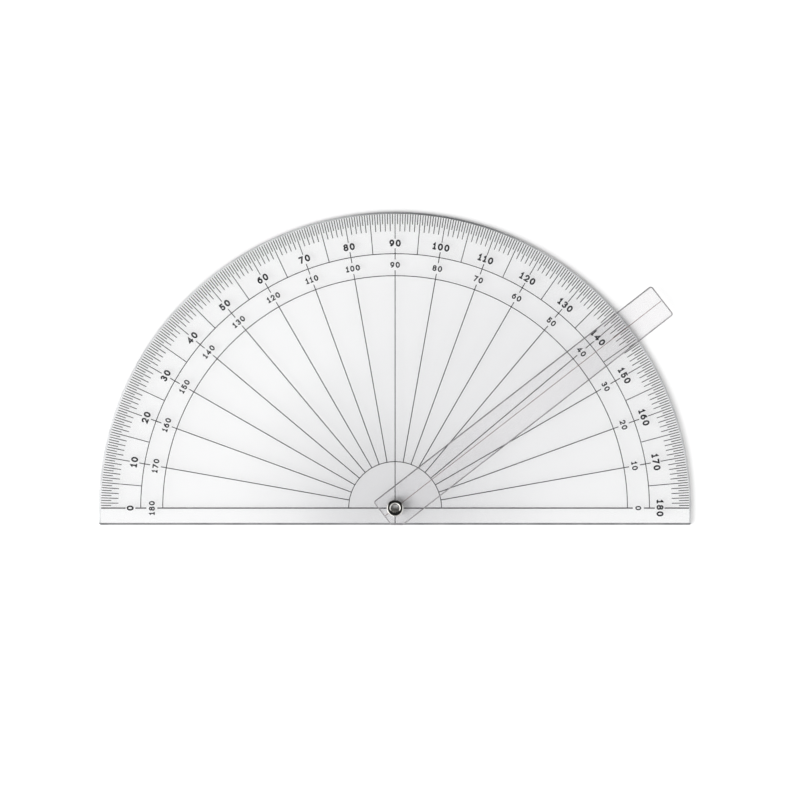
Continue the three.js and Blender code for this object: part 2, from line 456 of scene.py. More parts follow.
@dataclass(frozen=True)
class LineFill:
    """Dried ink rubbed into engraved lines: matt, slightly uneven, thinner in places."""

    name: str
    full: Colour
    thin: Colour
    patch: float
    patch_range: Flat = (0.42, 0.72)
    grains_per_patch: float = 12.0
    grain_range: Flat = (0.3, 0.7)
    grain_depth: float = 0.004
    roughness: Flat = (0.45, 0.70)
    shine_past: float = 0.9

    def material(self) -> bpy.types.Material:
        """Builds the material.

        Returns:
            An opaque ink that throws only a faint shadow.
        """
        made, wiring, place = started_material(self.name)
        cloud = wiring.noise(place, 1 / (self.patch * MM), detail=4.0)
        grain = wiring.noise(place, self.grains_per_patch / (self.patch * MM), detail=2.0)
        worn = wiring.ranged(cloud, *self.patch_range, 0.0, 1.0)
        ink = wiring.node("ShaderNodeBsdfPrincipled", {
            "Base Color": wiring.blended(worn, opaque(self.full), opaque(self.thin)),
            "Roughness": wiring.ranged(grain, *self.grain_range, *self.roughness),
            "Normal": wiring.dented(grain, self.grain_depth),
        })
        past = wiring.node("ShaderNodeBsdfTransparent", {"Color": (1, 1, 1, 1)})
        shadow = wiring.node("ShaderNodeLightPath").outputs["Is Shadow Ray"]
        wiring.surface(ink, past, wiring.math("MULTIPLY", shadow, self.shine_past))
        return made


@dataclass(frozen=True)
class PolishedNickel:
    """Nickel plate, polished, with fine turning rings and hairline marks.

    The rings' spacing is what they move outwards for each radian of the wave texture's phase.
    """

    PHASE_PER_UNIT = 20

    name: str
    bright: Colour
    dulled: Colour
    roughness: Flat = (0.05, 0.18)
    turning_spacing: float = 0.11
    turning_wander: float = 0.6
    turning_share: float = 0.35
    marks: Hairlines = Hairlines(pitch=1.4, stretch=9.0, width=0.03, coverage=0.55)
    cloud_scale: float = 900.0
    cloud_range: Flat = (0.4, 0.75)
    cloud_share: float = 0.5
    depth: float = 0.002

    def material(self, effects: SharedEffects) -> bpy.types.Material:
        """Builds the material.

        Args:
            effects: The shared shader groups.

        Returns:
            A metal material.
        """
        made, wiring, place = started_material(self.name)
        about_axis = {"Vector": place, "Location": -effects.centre}
        centred = wiring.node("ShaderNodeMapping", about_axis).outputs[0]
        rings = wiring.node("ShaderNodeTexWave", {
            "Vector": centred, "Scale": 1 / (self.turning_spacing * MM * self.PHASE_PER_UNIT),
            "Distortion": self.turning_wander,
        }, wave_type="RINGS", rings_direction="Z")
        marks = self.marks.mask(wiring, effects, centred)
        cloud = wiring.noise(place, self.cloud_scale, detail=4.0)
        dull = wiring.ranged(cloud, *self.cloud_range, 0.0, 1.0)
        rough = wiring.math("MAXIMUM", marks, wiring.math("MULTIPLY", dull, self.cloud_share))
        turned = wiring.math("MULTIPLY", rings.outputs[1], self.turning_share)
        metal = wiring.node("ShaderNodeBsdfPrincipled", {
            "Base Color": wiring.blended(dull, opaque(self.bright), opaque(self.dulled)), "Metallic": 1.0,
            "Roughness": wiring.ranged(rough, 0.0, 1.0, *self.roughness),
            "Normal": wiring.dented(wiring.math("SUBTRACT", turned, marks), self.depth),
        })
        wiring.surface(metal)
        return made


@dataclass(frozen=True)
class SmoothNylon:
    """Undyed nylon: milky, with a faint moulded mottle."""

    name: str
    colour: Colour
    shade: Colour
    roughness: Flat = (0.45, 0.60)
    mottle_scale: float = 1400.0
    mottle_range: Flat = (0.3, 0.7)
    mottle_depth: float = 0.006
    milkiness: float = 0.2
    light_reach: Colour = (0.0006, 0.0005, 0.0004)

    def material(self) -> bpy.types.Material:
        """Builds the material.

        Returns:
            A milky plastic.
        """
        made, wiring, place = started_material(self.name)
        mottle = wiring.noise(place, self.mottle_scale, detail=4.0)
        nylon = wiring.node("ShaderNodeBsdfPrincipled", {
            "Base Color": wiring.blended(mottle, opaque(self.colour), opaque(self.shade)),
            "Roughness": wiring.ranged(mottle, *self.mottle_range, *self.roughness),
            "Normal": wiring.dented(mottle, self.mottle_depth),
            "Subsurface Weight": self.milkiness, "Subsurface Radius": self.light_reach,
        })
        wiring.surface(nylon)
        return made


@dataclass(frozen=True)
class WhitePaper:
    """White paper under the protractor, which reads as plain white away from the object's shadow."""

    name: str
    colour: Colour
    glow_share: float
    roughness: float = 0.3
    shaded_radius: float = 1.6

    def material(self, centre: Vector) -> bpy.types.Material:
        """Builds the material.

        Args:
            centre: The eyelet's axis at the paper, in metres.

        Returns:
            A diffuse white, mixed with plain white for the rays that show it outside the eyelet's bore;
            inside the bore the plain white is left out, painted shade.
        """
        made, wiring, place = started_material(self.name)
        path = wiring.node("ShaderNodeLightPath").outputs
        seen = wiring.math("MAXIMUM", path["Is Camera Ray"], path["Is Glossy Ray"])
        seen = wiring.math("MAXIMUM", seen, path["Is Transmission Ray"])
        apart = wiring.node("ShaderNodeVectorMath", {0: place, 1: centre}, operation="DISTANCE")
        # Painted shade: the paper within this radius of the eyelet's axis gets no glow, so the bore reads
        # dark.
        open_paper = wiring.math("GREATER_THAN", apart.outputs["Value"], self.shaded_radius * MM)
        share = wiring.math("MULTIPLY", wiring.math("MULTIPLY", seen, open_paper), self.glow_share)
        matt = wiring.node(
            "ShaderNodeBsdfDiffuse", {"Color": opaque(self.colour), "Roughness": self.roughness},
        )
        glow = wiring.node("ShaderNodeEmission", {"Color": (1, 1, 1, 1), "Strength": 1.0})
        wiring.surface(matt, glow, share)
        return made


# Shared shape making


@dataclass(frozen=True)
class Dial:
    """Where the protractor lies: the eyelet's axis at the paper, and the arm's angle at rest."""

    centre: Vector
    rest_degrees: float

    def place(self, point: Sequence[float], level: float) -> Vector:
        """Turns X and Y about the eyelet and a level, in millimetres, into a point of the row frame."""
        return self.centre + Vector((point[0], point[1], level)) * MM


def arc(centre: Flat, radii: Flat, start: float, end: float, steps: int) -> list[Flat]:
    """Gives points along an elliptical arc between two angles in degrees, both ends included."""
    angles = [math.radians(start + (end - start) * step / steps) for step in range(steps + 1)]
    return [(centre[0] + radii[0] * math.cos(a), centre[1] + radii[1] * math.sin(a)) for a in angles]


def turned_about(points: Iterable[Flat], degrees: float) -> list[Flat]:
    """Turns points about the eyelet, anticlockwise from above."""
    cosine, sine = math.cos(math.radians(degrees)), math.sin(math.radians(degrees))
    return [(x * cosine - y * sine, x * sine + y * cosine) for x, y in points]


def inset(outline: Sequence[Flat], distance: float) -> list[Flat]:
    """Moves a convex anticlockwise outline inwards.

    Args:
        outline: Its points.
        distance: How far each side moves.

    Returns:
        The moved points, as many as before.
    """
    moved = []
    count = len(outline)
    for index, point in enumerate(outline):
        here = Vector(point)
        before = (here - Vector(outline[index - 1])).normalized()
        after = (Vector(outline[(index + 1) % count]) - here).normalized()
        first, second = Vector((-before.y, before.x)), Vector((-after.y, after.x))
        middle = (first + second).normalized()
        moved.append(tuple(here + middle * (distance / middle.dot(first))))
    return moved


def finished_object(
    name: str, shape: bmesh.types.BMesh, *materials: bpy.types.Material,
) -> bpy.types.Object:
    """Turns a finished bmesh into an object of the scene.

    Args:
        name: The object's name.
        shape: The mesh, which is freed.
        materials: Its finishes, in the order of its faces' material numbers.

    Returns:
        The object, at the origin.
    """
    mesh = bpy.data.meshes.new(name)
    shape.to_mesh(mesh)
    shape.free()
    for material in materials:
        mesh.materials.append(material)
    made = bpy.data.objects.new(name, mesh)
    bpy.context.scene.collection.objects.link(made)
    return made


def loop_of(shape: bmesh.types.BMesh, points: Iterable[Vector]) -> Loop:
    """Adds the vertices of one loop."""
    return [shape.verts.new(point) for point in points]


def round_loop(shape: bmesh.types.BMesh, dial: Dial, radius: float, level: float, steps: int) -> Loop:
    """Adds the vertices of a full circle about the eyelet's axis."""
    points = arc((0, 0), (radius, radius), 0, 360, steps)[:-1]
    return loop_of(shape, (dial.place(point, level) for point in points))


def join_loops(
    shape: bmesh.types.BMesh, first: Loop, second: Loop, smooth: bool, closed: bool = True,
) -> None:
    """Joins two loops of the same length with quads.

    Args:
        shape: The mesh.
        first: Vertices of one loop.
        second: Vertices of the other.
        smooth: Whether the faces shade smoothly.
        closed: Whether the last quad joins the ends.
    """
    count = len(first)
    for index in range(count if closed else count - 1):
        after = (index + 1) % count
        face = shape.faces.new((first[index], first[after], second[after], second[index]))
        face.smooth = smooth


def edges_round(loop: Loop) -> list[bmesh.types.BMEdge]:
    """Finds the edges that run round a loop of vertices.

    Args:
        loop: The vertices in order.

    Returns:
        The edges in order.
    """
    found = []
    for index, vertex in enumerate(loop):
        other = loop[(index + 1) % len(loop)]
        found.append(next(edge for edge in vertex.link_edges if edge.other_vert(vertex) is other))
    return found


@dataclass(frozen=True)
class RoundedSheet:
    """Flat clear sheet with rounded edges and a round hole, which may open into a recess below."""

    outline: Sequence[Flat]
    bottom: float
    top: float
    upper_edge: float
    lower_edge: float
    hole_radius: float
    recess_radius: float = 0.0
    recess_depth: float = 0.0
    edge_steps: int = 7
    hole_steps: int = 72

    def build(
        self, name: str, dial: Dial, faces: bpy.types.Material, edges: bpy.types.Material,
    ) -> bpy.types.Object:
        """Builds the sheet.

        Args:
            name: The object's name.
            dial: Where the protractor lies.
            faces: Finish of its two flat faces.
            edges: Finish of its rounded edges and its hole.

        Returns:
            The sheet's object.
        """
        shape = bmesh.new()
        quarter = [math.pi / 2 * step / self.edge_steps for step in range(self.edge_steps + 1)]
        rings = [
            (self.lower_edge * (1 - math.sin(turn)), self.bottom + self.lower_edge * (1 - math.cos(turn)))
            for turn in quarter
        ]
        rings += [
            (self.upper_edge * (1 - math.cos(turn)), self.top - self.upper_edge * (1 - math.sin(turn)))
            for turn in quarter
        ]
        loops = []
        for distance, level in rings:
            points = inset(self.outline, distance) if distance else self.outline
            loops.append(loop_of(shape, (dial.place(point, level) for point in points)))
        for lower, upper in zip(loops, loops[1:]):
            join_loops(shape, lower, upper, smooth=True)
        hole = self._hole_loops(shape, dial)
        for face in shape.faces:
            face.material_index = 1
        self._fill(shape, loops[-1], hole[-1])
        self._fill(shape, loops[0], hole[0])
        bmesh.ops.recalc_face_normals(shape, faces=shape.faces[:])
        return finished_object(name, shape, faces, edges)

    def _hole_loops(self, shape: bmesh.types.BMesh, dial: Dial) -> list[Loop]:
        """Builds the walls of the hole and of its recess, from the bottom up.

        Args:
            shape: The mesh.
            dial: Where the protractor lies.

        Returns:
            The loops, the lowest first.
        """
        steps = [(self.hole_radius, self.bottom), (self.hole_radius, self.top)]
        if self.recess_radius:
            shoulder = self.bottom + self.recess_depth
            steps = [
                (self.recess_radius, self.bottom), (self.recess_radius, shoulder),
                (self.hole_radius, shoulder), (self.hole_radius, self.top),
            ]
        loops = [round_loop(shape, dial, radius, level, self.hole_steps) for radius, level in steps]
        for index, (lower, upper) in enumerate(zip(loops, loops[1:])):
            shoulder_face = index == 1
            join_loops(shape, upper, lower, smooth=not shoulder_face)
        for loop in loops[1:-1]:
            for edge in edges_round(loop):
                edge.smooth = False
        return loops

    @staticmethod
    def _fill(shape: bmesh.types.BMesh, outer: Loop, inner: Loop) -> None:
        """Fills the flat face between the outline and the hole.

        Args:
            shape: The mesh.
            outer: The outline's loop.
            inner: The hole's loop.
        """
        edges = edges_round(outer) + edges_round(inner)
        for edge in edges:
            edge.smooth = False
        bmesh.ops.triangle_fill(shape, edges=edges, use_beauty=True)


def revolve(
    name: str, profile: Sequence[Flat], steps: int, dial: Dial, material: bpy.types.Material,
    sharp_degrees: float = 40.0,
) -> bpy.types.Object:
    """Turns a closed profile of radius and level about the eyelet's axis.

    Args:
        name: The object's name.
        profile: Its corners in millimetres, closing on themselves.
        steps: Facets round the turn.
        dial: Where the protractor lies.
        material: Its finish.
        sharp_degrees: Edges that bend more than this stay crisp.

    Returns:
        The turned object.
    """
    shape = bmesh.new()
    loops = [round_loop(shape, dial, radius, level, steps) for radius, level in profile]
    for index, loop in enumerate(loops):
        join_loops(shape, loop, loops[(index + 1) % len(loops)], smooth=True)
    bmesh.ops.recalc_face_normals(shape, faces=shape.faces[:])
    limit = math.radians(sharp_degrees)
    for edge in shape.edges:
        edge.smooth = edge.calc_face_angle(0.0) < limit
    return finished_object(name, shape, material)


# Geometry Nodes


def grow(name: str, tree: bpy.types.NodeTree, values: dict[str, Any]) -> bpy.types.Object:
    """Runs a Geometry Nodes tree and keeps its result as a plain mesh.

    Args:
        name: The object's name.
        tree: The tree.
        values: Value of each named input.

    Returns:
        An object without modifiers, at the origin.
    """
    seed_mesh = bpy.data.meshes.new(f"{name}_seed")
    seed = bpy.data.objects.new(f"{name}_seed", seed_mesh)
    bpy.context.scene.collection.objects.link(seed)
    modifier = seed.modifiers.new("grow", "NODES")
    modifier.node_group = tree
    identifiers = {
        item.name: item.identifier for item in tree.interface.items_tree
        if item.item_type == "SOCKET" and item.in_out == "INPUT"
    }
    for key, value in values.items():
        modifier[identifiers[key]] = value
    seed.update_tag()
    bpy.context.view_layer.update()
    evaluated = seed.evaluated_get(bpy.context.evaluated_depsgraph_get())
    mesh = bpy.data.meshes.new_from_object(evaluated)
    mesh.name = name
    bpy.data.objects.remove(seed)
    bpy.data.meshes.remove(seed_mesh)
    made = bpy.data.objects.new(name, mesh)
    bpy.context.scene.collection.objects.link(made)
    return made


def start_of_growth(name: str, inputs: dict[str, GroupSocket]) -> tuple[Wiring, Any]:
    """Starts a Geometry Nodes group for bars of one section about the dial's centre.

    Args:
        name: The group's name.
        inputs: Kind of each input by its name, ahead of the inputs that all such groups take.

    Returns:
        The group's wiring, and the sockets that carry its inputs.
    """
    section = numbers("Width", "Depth", "Level")
    shared = {"Centre": GroupSocket.VECTOR, "Fill": GroupSocket.MATERIAL}
    return started_group(
        name, "GeometryNodeTree", {**inputs, **section, **shared}, "Geometry", GroupSocket.GEOMETRY,
    )


def end_of_growth(wiring: Wiring, geometry: bpy.types.NodeSocket, fill: bpy.types.NodeSocket) -> None:
    """Gives a tree's geometry its material and puts it out."""
    filled = wiring.node("GeometryNodeSetMaterial", {"Geometry": geometry, "Material": fill})
    wiring.node("NodeGroupOutput", {"Geometry": filled.outputs[0]})


@dataclass(frozen=True)
class Run:
    """Run of radial lines, with its angles from the right-hand end of the base line.

    The entries of longer say which lines are longer than the rest: every how many, and their length.
    """

    name: str
    outer: float
    length: float
    width: float
    first: float = 0.0
    count: int = 1
    step: float = 0.0
    longer: dict[str, tuple[int, float]] = field(default_factory=dict)


class RadialLineTree:
    """Geometry Nodes tree for bars that point at the dial's centre, in up to four lengths."""

    LONGER_KINDS = ("Degree", "Ring", "Numbered")
    COUNTS = ("Count", *(f"{kind} Every" for kind in LONGER_KINDS))
    LENGTHS = ("Shortest Length", *(f"{kind} Length" for kind in LONGER_KINDS))

    def __init__(self) -> None:
        """Builds the tree once."""
        wiring, given = start_of_growth("radial_lines", {
            **dict.fromkeys(self.COUNTS, GroupSocket.WHOLE),
            **numbers("First Angle", "Step Angle", "Outer Radius", *self.LENGTHS),
        })
        starts = wiring.node(
            "GeometryNodeMeshLine", {"Count": given["Count"], "Offset": (0, 0, 0)}, mode="OFFSET",
        )
        index = wiring.node("GeometryNodeInputIndex").outputs[0]
        turned = wiring.math("MULTIPLY", index, given["Step Angle"])
        angle = wiring.math("ADD", given["First Angle"], turned)
        across = wiring.math("MULTIPLY", given["Outer Radius"], wiring.math("COSINE", angle))
        along = wiring.math("MULTIPLY", given["Outer Radius"], wiring.math("SINE", angle))
        outer_end = wiring.node("ShaderNodeCombineXYZ", {"X": across, "Y": along, "Z": given["Level"]})
        placed = wiring.node(
            "GeometryNodeSetPosition", {"Geometry": starts.outputs[0], "Position": outer_end.outputs[0]},
        )
        length = self._length(wiring, given, index)
        size = wiring.node("ShaderNodeCombineXYZ", {"X": length, "Y": given["Width"], "Z": given["Depth"]})
        heading = wiring.node("ShaderNodeCombineXYZ", {"Z": angle})
        turn = wiring.node("FunctionNodeEulerToRotation", {"Euler": heading.outputs[0]})
        block = wiring.node("GeometryNodeMeshCube")
        # The middle of the bar's outer end, at its upper face, goes to its point.
        bar = wiring.node(
            "GeometryNodeTransform", {"Geometry": block.outputs[0], "Translation": (-0.5, 0.0, -0.5)},
        )
        bars = wiring.node("GeometryNodeInstanceOnPoints", {
            "Points": placed.outputs[0], "Instance": bar.outputs[0], "Rotation": turn.outputs[0],
            "Scale": size.outputs[0],
        })
        real = wiring.node("GeometryNodeRealizeInstances", {"Geometry": bars.outputs[0]})
        centred = wiring.node(
            "GeometryNodeTransform", {"Geometry": real.outputs[0], "Translation": given["Centre"]},
        )
        end_of_growth(wiring, centred.outputs[0], given["Fill"])
        self.tree = wiring.tree

    def _length(self, wiring: Wiring, given: Any, index: bpy.types.NodeSocket) -> bpy.types.NodeSocket:
        """Picks each line's length from its place in the run.

        Args:
            wiring: The tree's wiring.
            given: Outputs of the tree's inputs.
            index: The line's number.

        Returns:
            The length.
        """
        length = given["Shortest Length"]
        for kind in self.LONGER_KINDS:
            rest = wiring.math("MODULO", index, given[f"{kind} Every"])
            length = wiring.node("GeometryNodeSwitch", {
                "Switch": wiring.math("LESS_THAN", rest, 0.5), "False": length,
                "True": given[f"{kind} Length"],
            }, input_type="FLOAT").outputs[0]
        return length

    def lines(
        self, run: Run, dial: Dial, depth: float, level: float, ink: bpy.types.Material,
    ) -> bpy.types.Object:
        """Builds one run of radial lines.

        Args:
            run: The run.
            dial: Where the protractor lies.
            depth: Depth of the lines.
            level: Level of their upper faces.
            ink: Their material.

        Returns:
            The run's object.
        """
        values: dict[str, Any] = {
            "Count": run.count, "First Angle": math.radians(run.first),
            "Step Angle": math.radians(run.step), "Outer Radius": run.outer * MM,
            "Shortest Length": run.length * MM, "Width": run.width * MM, "Depth": depth * MM,
            "Level": level * MM, "Centre": dial.centre, "Fill": ink,
        }
        for kind in self.LONGER_KINDS:
            every, length = run.longer.get(kind, (1, run.length))
            values |= {f"{kind} Every": every, f"{kind} Length": length * MM}
        return grow(run.name, self.tree, values)


class HalfRingTree:
    """Geometry Nodes tree for the dial's three half rings."""

    def __init__(self) -> None:
        """Builds the tree once."""
        inputs = {"Steps": GroupSocket.WHOLE, **numbers(*(ring.value for ring in Ring))}
        wiring, given = start_of_growth("half_rings", inputs)
        section = wiring.node(
            "GeometryNodeCurvePrimitiveQuadrilateral", {"Width": given["Width"], "Height": given["Depth"]},
            mode="RECTANGLE",
        )
        joined = wiring.node("GeometryNodeJoinGeometry")
        for ring in Ring:
            path = wiring.node("GeometryNodeCurveArc", {
                "Resolution": given["Steps"], "Radius": given[ring.value], "Start Angle": 0.0,
                "Sweep Angle": math.pi,
            }, mode="RADIUS")
            upright = wiring.node("GeometryNodeSetCurveNormal", {"Curve": path.outputs[0]}, mode="Z_UP")
            band = wiring.node("GeometryNodeCurveToMesh", {
                "Curve": upright.outputs[0], "Profile Curve": section.outputs[0], "Fill Caps": True,
            })
            wiring.tree.links.new(band.outputs[0], joined.inputs[0])
        half_depth = wiring.math("MULTIPLY", given["Depth"], 0.5)
        middle = wiring.node(
            "ShaderNodeCombineXYZ", {"Z": wiring.math("SUBTRACT", given["Level"], half_depth)},
        )
        shift = wiring.node(
            "ShaderNodeVectorMath", {0: middle.outputs[0], 1: given["Centre"]}, operation="ADD",
        )
        placed = wiring.node(
            "GeometryNodeTransform", {"Geometry": joined.outputs[0], "Translation": shift.outputs[0]},
        )
        real = wiring.node("GeometryNodeRealizeInstances", {"Geometry": placed.outputs[0]})
        end_of_growth(wiring, real.outputs[0], given["Fill"])
        self.tree = wiring.tree


# Numerals


@dataclass(frozen=True)
class Stroke:
    """One pen stroke of a numeral, in units of the numeral's height."""

    points: Sequence[Flat]
    closed: bool = False


@dataclass(frozen=True)
class NumeralBox:
    """Box that the pen's middle keeps to, and the ten numerals drawn in it.

    Plain numbers in the drawings are shares of the numeral's height or of the box, or angles.
    """

    WAIST = 0.54

    left: float
    right: float
    low: float
    high: float
    steps: int

    @property
    def width(self) -> float:
        """Measures the box from side to side."""
        return self.right - self.left

    @property
    def middle(self) -> float:
        """Finds the place halfway between the sides."""
        return (self.left + self.right) / 2

    def drawing(self, digit: str) -> list[Stroke]:
        """Draws one numeral.

        Args:
            digit: The numeral.

        Returns:
            Its pen strokes.
        """
        return (
            self.zero, self.one, self.two, self.three, self.four, self.five, self.six, self.seven,
            self.eight, self.nine,
        )[int(digit)]()

    def oval(self, centre: Flat, radii: Flat) -> Stroke:
        """Draws a closed oval."""
        return Stroke(arc(centre, radii, 0, 360, 2 * self.steps)[:-1], closed=True)

    def bowls(self, upper_share: float) -> list[tuple[Flat, Flat]]:
        """Places two bowls one on the other.

        Args:
            upper_share: Width of the upper bowl as a share of the lower one's.

        Returns:
            Centre and half axes of the upper and of the lower bowl.
        """
        waist = self.low + (self.high - self.low) * self.WAIST
        upper = (self.width / 2 * upper_share, (self.high - waist) / 2)
        lower = (self.width / 2, (waist - self.low) / 2)
        return [((self.middle, waist + upper[1]), upper), ((self.middle, waist - lower[1]), lower)]

    def zero(self) -> list[Stroke]:
        """Draws an oval."""
        centre = (self.middle, (self.low + self.high) / 2)
        return [self.oval(centre, (self.width / 2, (self.high - self.low) / 2))]

    def one(self) -> list[Stroke]:
        """Draws a stem with a flag and a foot.

        Returns:
            The strokes.
        """
        stem = self.left + self.width * 0.56
        flag = (self.left + self.width * 0.06, self.high - 0.17)
        foot = [(self.left, self.low), (self.right, self.low)]
        return [Stroke([flag, (stem, self.high), (stem, self.low)]), Stroke(foot)]

    def two(self) -> list[Stroke]:
        """Draws a hook that runs down to a foot.

        Returns:
            The strokes.
        """
        radii = (self.width / 2, 0.26)
        hook = arc((self.middle, self.high - radii[1]), radii, 165, -38, self.steps)
        return [Stroke([*hook, (self.left, self.low), (self.right, self.low)])]

    def three(self) -> list[Stroke]:
        """Draws two bowls open to the left."""
        upper, lower = self.bowls(0.9)
        return [Stroke(arc(*upper, 150, -90, self.steps)), Stroke(arc(*lower, 90, -150, self.steps))]

    def four(self) -> list[Stroke]:
        """Draws a closed four.

        Returns:
            The strokes.
        """
        stem = self.left + self.width * 0.72
        bar = self.low + (self.high - self.low) * 0.27
        return [Stroke([(self.right, bar), (self.left, bar), (stem, self.high), (stem, self.low)])]

    def five(self) -> list[Stroke]:
        """Draws a bar, a short stem and a bowl.

        Returns:
            The strokes.
        """
        radii = (self.width / 2, 0.245)
        bowl = arc((self.middle, self.low + radii[1]), radii, 138, -150, self.steps)
        return [Stroke([(self.right - 0.05, self.high), (self.left + 0.07, self.high), *bowl])]

    def six(self) -> list[Stroke]:
        """Draws a bowl with a stem that leans in from the top right.

        Returns:
            The strokes.
        """
        radii = (self.width / 2, 0.262)
        level = self.low + radii[1]
        stem = arc((self.right, level), (self.width, self.high - level), 180, 105, self.steps)
        return [self.oval((self.middle, level), radii), Stroke(stem)]

    def seven(self) -> list[Stroke]:
        """Draws a bar and a leaning stem."""
        foot = (self.left + self.width * 0.3, self.low)
        return [Stroke([(self.left, self.high), (self.right, self.high), foot])]

    def eight(self) -> list[Stroke]:
        """Draws a smaller oval on a larger one."""
        return [self.oval(*bowl) for bowl in self.bowls(0.86)]

    def nine(self) -> list[Stroke]:
        """Draws a six turned upside down.

        Returns:
            The strokes.
        """
        across, up = self.left + self.right, self.low + self.high
        return [
            Stroke([(across - x, up - y) for x, y in stroke.points], stroke.closed)
            for stroke in self.six()
        ]


@dataclass(frozen=True)
class DrawnNumerals:
    """Numerals drawn with one pen width, as a lettering engraver cuts them.

    The pen, the gap between numerals and their widths are shares of their height.
    """

    MITRE_LIMIT = 0.5

    pen: float
    gap: float = 0.2
    curve_steps: int = 20
    cap_steps: int = 4
    cap_degrees: float = 82.0
    widths: tuple[float, ...] = (0.73, 0.54, 0.68, 0.68, 0.76, 0.68, 0.70, 0.68, 0.70, 0.70)

    def strokes(self, digit: str) -> list[Stroke]:
        """Draws one numeral with its lower left corner at the origin.

        Args:
            digit: The numeral.

        Returns:
            Its pen strokes.
        """
        pen = self.pen / 2
        box = NumeralBox(pen, self.widths[int(digit)] - pen, pen, 1 - pen, self.curve_steps)
        return box.drawing(digit)

    def width_of(self, text: str) -> float:
        """Measures a number, in units of its height."""
        return sum(self.widths[int(digit)] for digit in text) + self.gap * (len(text) - 1)

    def add_stroke(
        self, shape: bmesh.types.BMesh, stroke: Stroke, height: float, dial: Dial, spot: Flat,
        degrees: float, levels: Flat,
    ) -> None:
        """Adds one stroke as a flat bar with round ends.

        Args:
            shape: The mesh.
            stroke: The stroke, about the number's centre.
            height: The numerals' height in millimetres.
            dial: Where the protractor lies.
            spot: The number's centre about the eyelet, in millimetres.
            degrees: How far the number is turned.
            levels: The bar's bottom and top.
        """
        sections = []
        for point, normal, reach in self._stations(stroke):
            section = []
            for side, level in ((1, 1), (-1, 1), (-1, 0), (1, 0)):
                local = (point + normal * (side * reach)) * height
                x, y = turned_about([tuple(local)], degrees)[0]
                section.append(dial.place((x + spot[0], y + spot[1]), levels[level]))
            sections.append(loop_of(shape, section))
        for before, after in zip(sections, sections[1:]):
            join_loops(shape, before, after, smooth=False)
        if stroke.closed:
            join_loops(shape, sections[-1], sections[0], smooth=False)
        else:
            shape.faces.new(sections[0])
            shape.faces.new(reversed(sections[-1]))

    def _stations(self, stroke: Stroke) -> list[Station]:
        """Lists the sections along a stroke.

        Args:
            stroke: The stroke.

        Returns:
            Point, sideways direction and half width of each section.
        """
        half = self.pen / 2
        points = [Vector(point) for point in stroke.points]
        count = len(points)
        stations = []
        for index, point in enumerate(points):
            ways = []
            if index or stroke.closed:
                ways.append((point - points[index - 1]).normalized())
            if index < count - 1 or stroke.closed:
                ways.append((points[(index + 1) % count] - point).normalized())
            way = sum(ways, Vector((0, 0))).normalized()
            spread = max(way.dot(ways[0]), self.MITRE_LIMIT)
            stations.append((point, Vector((-way.y, way.x)), half / spread))
        if stroke.closed:
            return stations
        start = self._cap(points[0], points[0] - points[1], turned=True)
        end = self._cap(points[-1], points[-1] - points[-2], turned=False)
        return [*reversed(start), *stations[1:-1], *end]

    def _cap(self, end: Vector, outward: Vector, turned: bool) -> list[Station]:
        """Lists the sections of a round end, from the stroke outwards.

        Args:
            end: The stroke's first or last point.
            outward: Direction away from the stroke.
            turned: Whether the stroke runs the other way, as it does at its start.

        Returns:
            Point, sideways direction and half width of each section.
        """
        half = self.pen / 2
        way = outward.normalized()
        run = -way if turned else way
        normal = Vector((-run.y, run.x))
        sections = []
        for step in range(self.cap_steps + 1):
            angle = math.radians(self.cap_degrees) * step / self.cap_steps
            sections.append((end + way * (half * math.sin(angle)), normal, half * math.cos(angle)))
        return sections


# Sub-assemblies


def settle(
    piece: bpy.types.Object, body: Body, replaced: str | None = None,
) -> bpy.types.Object:
    """Hangs a piece on the body that carries it and hides the CAD node that it stands for.

    Args:
        piece: The finished piece.
        body: The body that carries it.
        replaced: The CAD node that it stands for, if any.

    Returns:
        The same piece.
    """
    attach(piece, body.value)
    if replaced:
        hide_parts(replaced)
    LOG.info("%s rides on %s, %d faces", piece.name, body.value, len(piece.data.polygons))
    return piece


